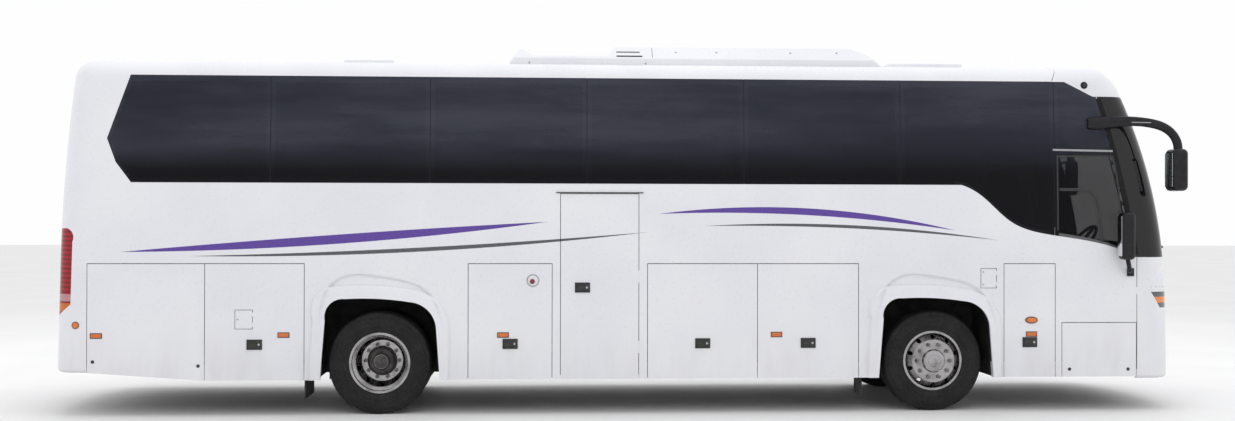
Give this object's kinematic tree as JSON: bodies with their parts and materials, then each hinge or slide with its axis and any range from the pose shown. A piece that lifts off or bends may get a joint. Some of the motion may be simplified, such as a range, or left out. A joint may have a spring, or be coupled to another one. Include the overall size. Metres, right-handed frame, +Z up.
{
  "type": "coach bus",
  "caption": "White single-deck touring coach with tinted flush windows, roof air conditioner, side luggage lids and a centre door.",
  "frame": {"origin": "centre of the coach in plan, on the ground under the tyres", "axes": "+X forward, +Y to the coach's left, +Z up"},
  "size_m": [11.454, 3.15, 3.694],
  "materials": {
    "body_paint": "semi-gloss off-white paint",
    "tinted_glass": "dark blue-grey tint",
    "black_plastic": "satin black",
    "lamp_clear": "clear lens",
    "lamp_red": "dark red lens",
    "rubber": "matt",
    "frame_steel": "matt black paint",
    "cast_iron": "as cast",
    "floor_cover": "grey sheet flooring",
    "seat_cloth": "dark blue cloth",
    "rack_plastic": "light grey",
    "tyre": "worn black rubber",
    "rim_steel": "bright"
  },
  "bodies": {
    "coach_body": {"ac_unit": "body_paint", "axles": "frame_steel", "cab_floor_and_stairs": "floor_cover", "chassis": "frame_steel", "dashboard": "black_plastic", "engine": "cast_iron", "floor": "floor_cover", "front_bumper": "body_paint", "front_cap": "body_paint", "front_mask": "body_paint", "headlamps": "lamp_clear", "luggage_bays": "frame_steel", "luggage_racks": "rack_plastic", "mirrors": "body_paint", "mud_flaps": "rubber", "rear_bumper": "body_paint", "rear_panel": "body_paint", "rear_window": "tinted_glass", "roof": "body_paint", "roof_hatches": "black_plastic", "screen_frame": "black_plastic", "seats_left": "seat_cloth", "seats_right": "seat_cloth", "side_glass_left": "tinted_glass", "side_glass_right": "tinted_glass", "side_wall_left": "body_paint", "side_wall_right": "body_paint", "tail_lamps": "lamp_red", "wheel_housings": "black_plastic", "windscreen": "tinted_glass", "wipers": "black_plastic"},
    "rear_lid_right": {"rear_lid_right": "body_paint"},
    "engine_side_lid_right": {"engine_side_lid_right": "body_paint"},
    "bay_lid_right_1": {"bay_lid_right_1": "body_paint"},
    "bay_lid_right_2": {"bay_lid_right_2": "body_paint"},
    "bay_lid_right_3": {"bay_lid_right_3": "body_paint"},
    "locker_lid_right": {"locker_lid_right": "body_paint"},
    "front_lid_right": {"front_lid_right": "body_paint"},
    "rear_lid_left": {"rear_lid_left": "body_paint"},
    "engine_side_lid_left": {"engine_side_lid_left": "body_paint"},
    "bay_lid_left_1": {"bay_lid_left_1": "body_paint"},
    "bay_lid_left_2": {"bay_lid_left_2": "body_paint"},
    "bay_lid_left_3": {"bay_lid_left_3": "body_paint"},
    "mid_door": {"mid_door": "body_paint"},
    "fuel_flap": {"fuel_flap": "body_paint"},
    "water_flap": {"water_flap": "body_paint"},
    "engine_door": {"engine_door": "body_paint"},
    "entrance_arm": {"entrance_arm": "frame_steel"},
    "entrance_door": {"entrance_door": "body_paint", "entrance_door_glass": "tinted_glass"},
    "knuckle_right": {"knuckle_right": "frame_steel"},
    "knuckle_left": {"knuckle_left": "frame_steel"},
    "wheel_front_right": {"tyre_front_right": "tyre", "rim_front_right": "rim_steel"},
    "wheels_rear_right": {"tyres_rear_right": "tyre", "rims_rear_right": "rim_steel"},
    "wheel_front_left": {"tyre_front_left": "tyre", "rim_front_left": "rim_steel"},
    "wheels_rear_left": {"tyres_rear_left": "tyre", "rims_rear_left": "rim_steel"}
  },
  "joints": [
    {"name": "rear_lid_right_hinge", "type": "hinge", "parent": "coach_body", "child": "rear_lid_right", "pos_m": [-4.7015, -1.275, 1.486], "axis": [-1, 0, 0], "range_deg": [0, 90]},
    {"name": "engine_side_lid_right_hinge", "type": "hinge", "parent": "coach_body", "child": "engine_side_lid_right", "pos_m": [-3.659, -1.275, 1.486], "axis": [-1, 0, 0], "range_deg": [0, 90]},
    {"name": "bay_lid_right_1_hinge", "type": "hinge", "parent": "coach_body", "child": "bay_lid_right_1", "pos_m": [-1.1675, -1.275, 1.486], "axis": [-1, 0, 0], "range_deg": [0, 90]},
    {"name": "bay_lid_right_2_hinge", "type": "hinge", "parent": "coach_body", "child": "bay_lid_right_2", "pos_m": [0.743, -1.275, 1.486], "axis": [-1, 0, 0], "range_deg": [0, 90]},
    {"name": "bay_lid_right_3_hinge", "type": "hinge", "parent": "coach_body", "child": "bay_lid_right_3", "pos_m": [1.803, -1.275, 1.486], "axis": [-1, 0, 0], "range_deg": [0, 90]},
    {"name": "locker_lid_right_hinge", "type": "hinge", "parent": "coach_body", "child": "locker_lid_right", "pos_m": [4.0605, -1.275, 1.486], "axis": [-1, 0, 0], "range_deg": [0, 90]},
    {"name": "front_lid_right_hinge", "type": "hinge", "parent": "coach_body", "child": "front_lid_right", "pos_m": [4.7775, -1.275, 0.891], "axis": [-1, 0, 0], "range_deg": [0, 90]},
    {"name": "rear_lid_left_hinge", "type": "hinge", "parent": "coach_body", "child": "rear_lid_left", "pos_m": [-4.7015, 1.275, 1.486], "axis": [1, 0, 0], "range_deg": [0, 90]},
    {"name": "engine_side_lid_left_hinge", "type": "hinge", "parent": "coach_body", "child": "engine_side_lid_left", "pos_m": [-3.659, 1.275, 1.486], "axis": [1, 0, 0], "range_deg": [0, 90]},
    {"name": "bay_lid_left_1_hinge", "type": "hinge", "parent": "coach_body", "child": "bay_lid_left_1", "pos_m": [-0.932, 1.275, 1.486], "axis": [1, 0, 0], "range_deg": [0, 90]},
    {"name": "bay_lid_left_2_hinge", "type": "hinge", "parent": "coach_body", "child": "bay_lid_left_2", "pos_m": [0.366, 1.275, 1.486], "axis": [1, 0, 0], "range_deg": [0, 90]},
    {"name": "bay_lid_left_3_hinge", "type": "hinge", "parent": "coach_body", "child": "bay_lid_left_3", "pos_m": [1.664, 1.275, 1.486], "axis": [1, 0, 0], "range_deg": [0, 90]},
    {"name": "mid_door_hinge", "type": "hinge", "parent": "coach_body", "child": "mid_door", "pos_m": [0.106, -1.275, 1.2], "axis": [0, 0, 1], "range_deg": [0, 90]},
    {"name": "fuel_flap_hinge", "type": "hinge", "parent": "engine_side_lid_right", "child": "fuel_flap", "pos_m": [-3.677, -1.275, 0.941], "axis": [0, 0, 1], "range_deg": [0, 90]},
    {"name": "water_flap_hinge", "type": "hinge", "parent": "coach_body", "child": "water_flap", "pos_m": [3.719, -1.275, 1.339], "axis": [0, 0, 1], "range_deg": [0, 90]},
    {"name": "engine_door_hinge", "type": "hinge", "parent": "coach_body", "child": "engine_door", "pos_m": [-5.7042, 0, 1.56], "axis": [0, 1, 0], "range_deg": [0, 85]},
    {"name": "entrance_arm_swing", "type": "hinge", "parent": "coach_body", "child": "entrance_arm", "pos_m": [5.002, 1.13, 0.8], "axis": [0, 0, -1], "range_deg": [0, 120]},
    {"name": "entrance_door_follow", "type": "hinge", "parent": "entrance_arm", "child": "entrance_door", "pos_m": [4.5531, 1.0986, 0.8], "axis": [0, 0, 1], "range_deg": [0, 120]},
    {"name": "steer_right", "type": "hinge", "parent": "coach_body", "child": "knuckle_right", "pos_m": [3.09, -0.93, 0.505], "axis": [0, 0, 1], "range_deg": [-45, 45]},
    {"name": "steer_left", "type": "hinge", "parent": "coach_body", "child": "knuckle_left", "pos_m": [3.09, 0.93, 0.505], "axis": [0, 0, 1], "range_deg": [-45, 45]},
    {"name": "roll_front_right", "type": "hinge", "parent": "knuckle_right", "child": "wheel_front_right", "pos_m": [3.09, -1.058, 0.505], "axis": [0, 1, 0], "continuous": true},
    {"name": "roll_rear_right", "type": "hinge", "parent": "coach_body", "child": "wheels_rear_right", "pos_m": [-2.45, -0.924, 0.505], "axis": [0, 1, 0], "continuous": true},
    {"name": "roll_front_left", "type": "hinge", "parent": "knuckle_left", "child": "wheel_front_left", "pos_m": [3.09, 1.058, 0.505], "axis": [0, 1, 0], "continuous": true},
    {"name": "roll_rear_left", "type": "hinge", "parent": "coach_body", "child": "wheels_rear_left", "pos_m": [-2.45, 0.924, 0.505], "axis": [0, 1, 0], "continuous": true}
  ],
  "couplings": [
    {"joint": "steer_left", "follows": "steer_right", "ratio": 1},
    {"joint": "entrance_door_follow", "follows": "entrance_arm_swing", "ratio": 1}
  ]
}
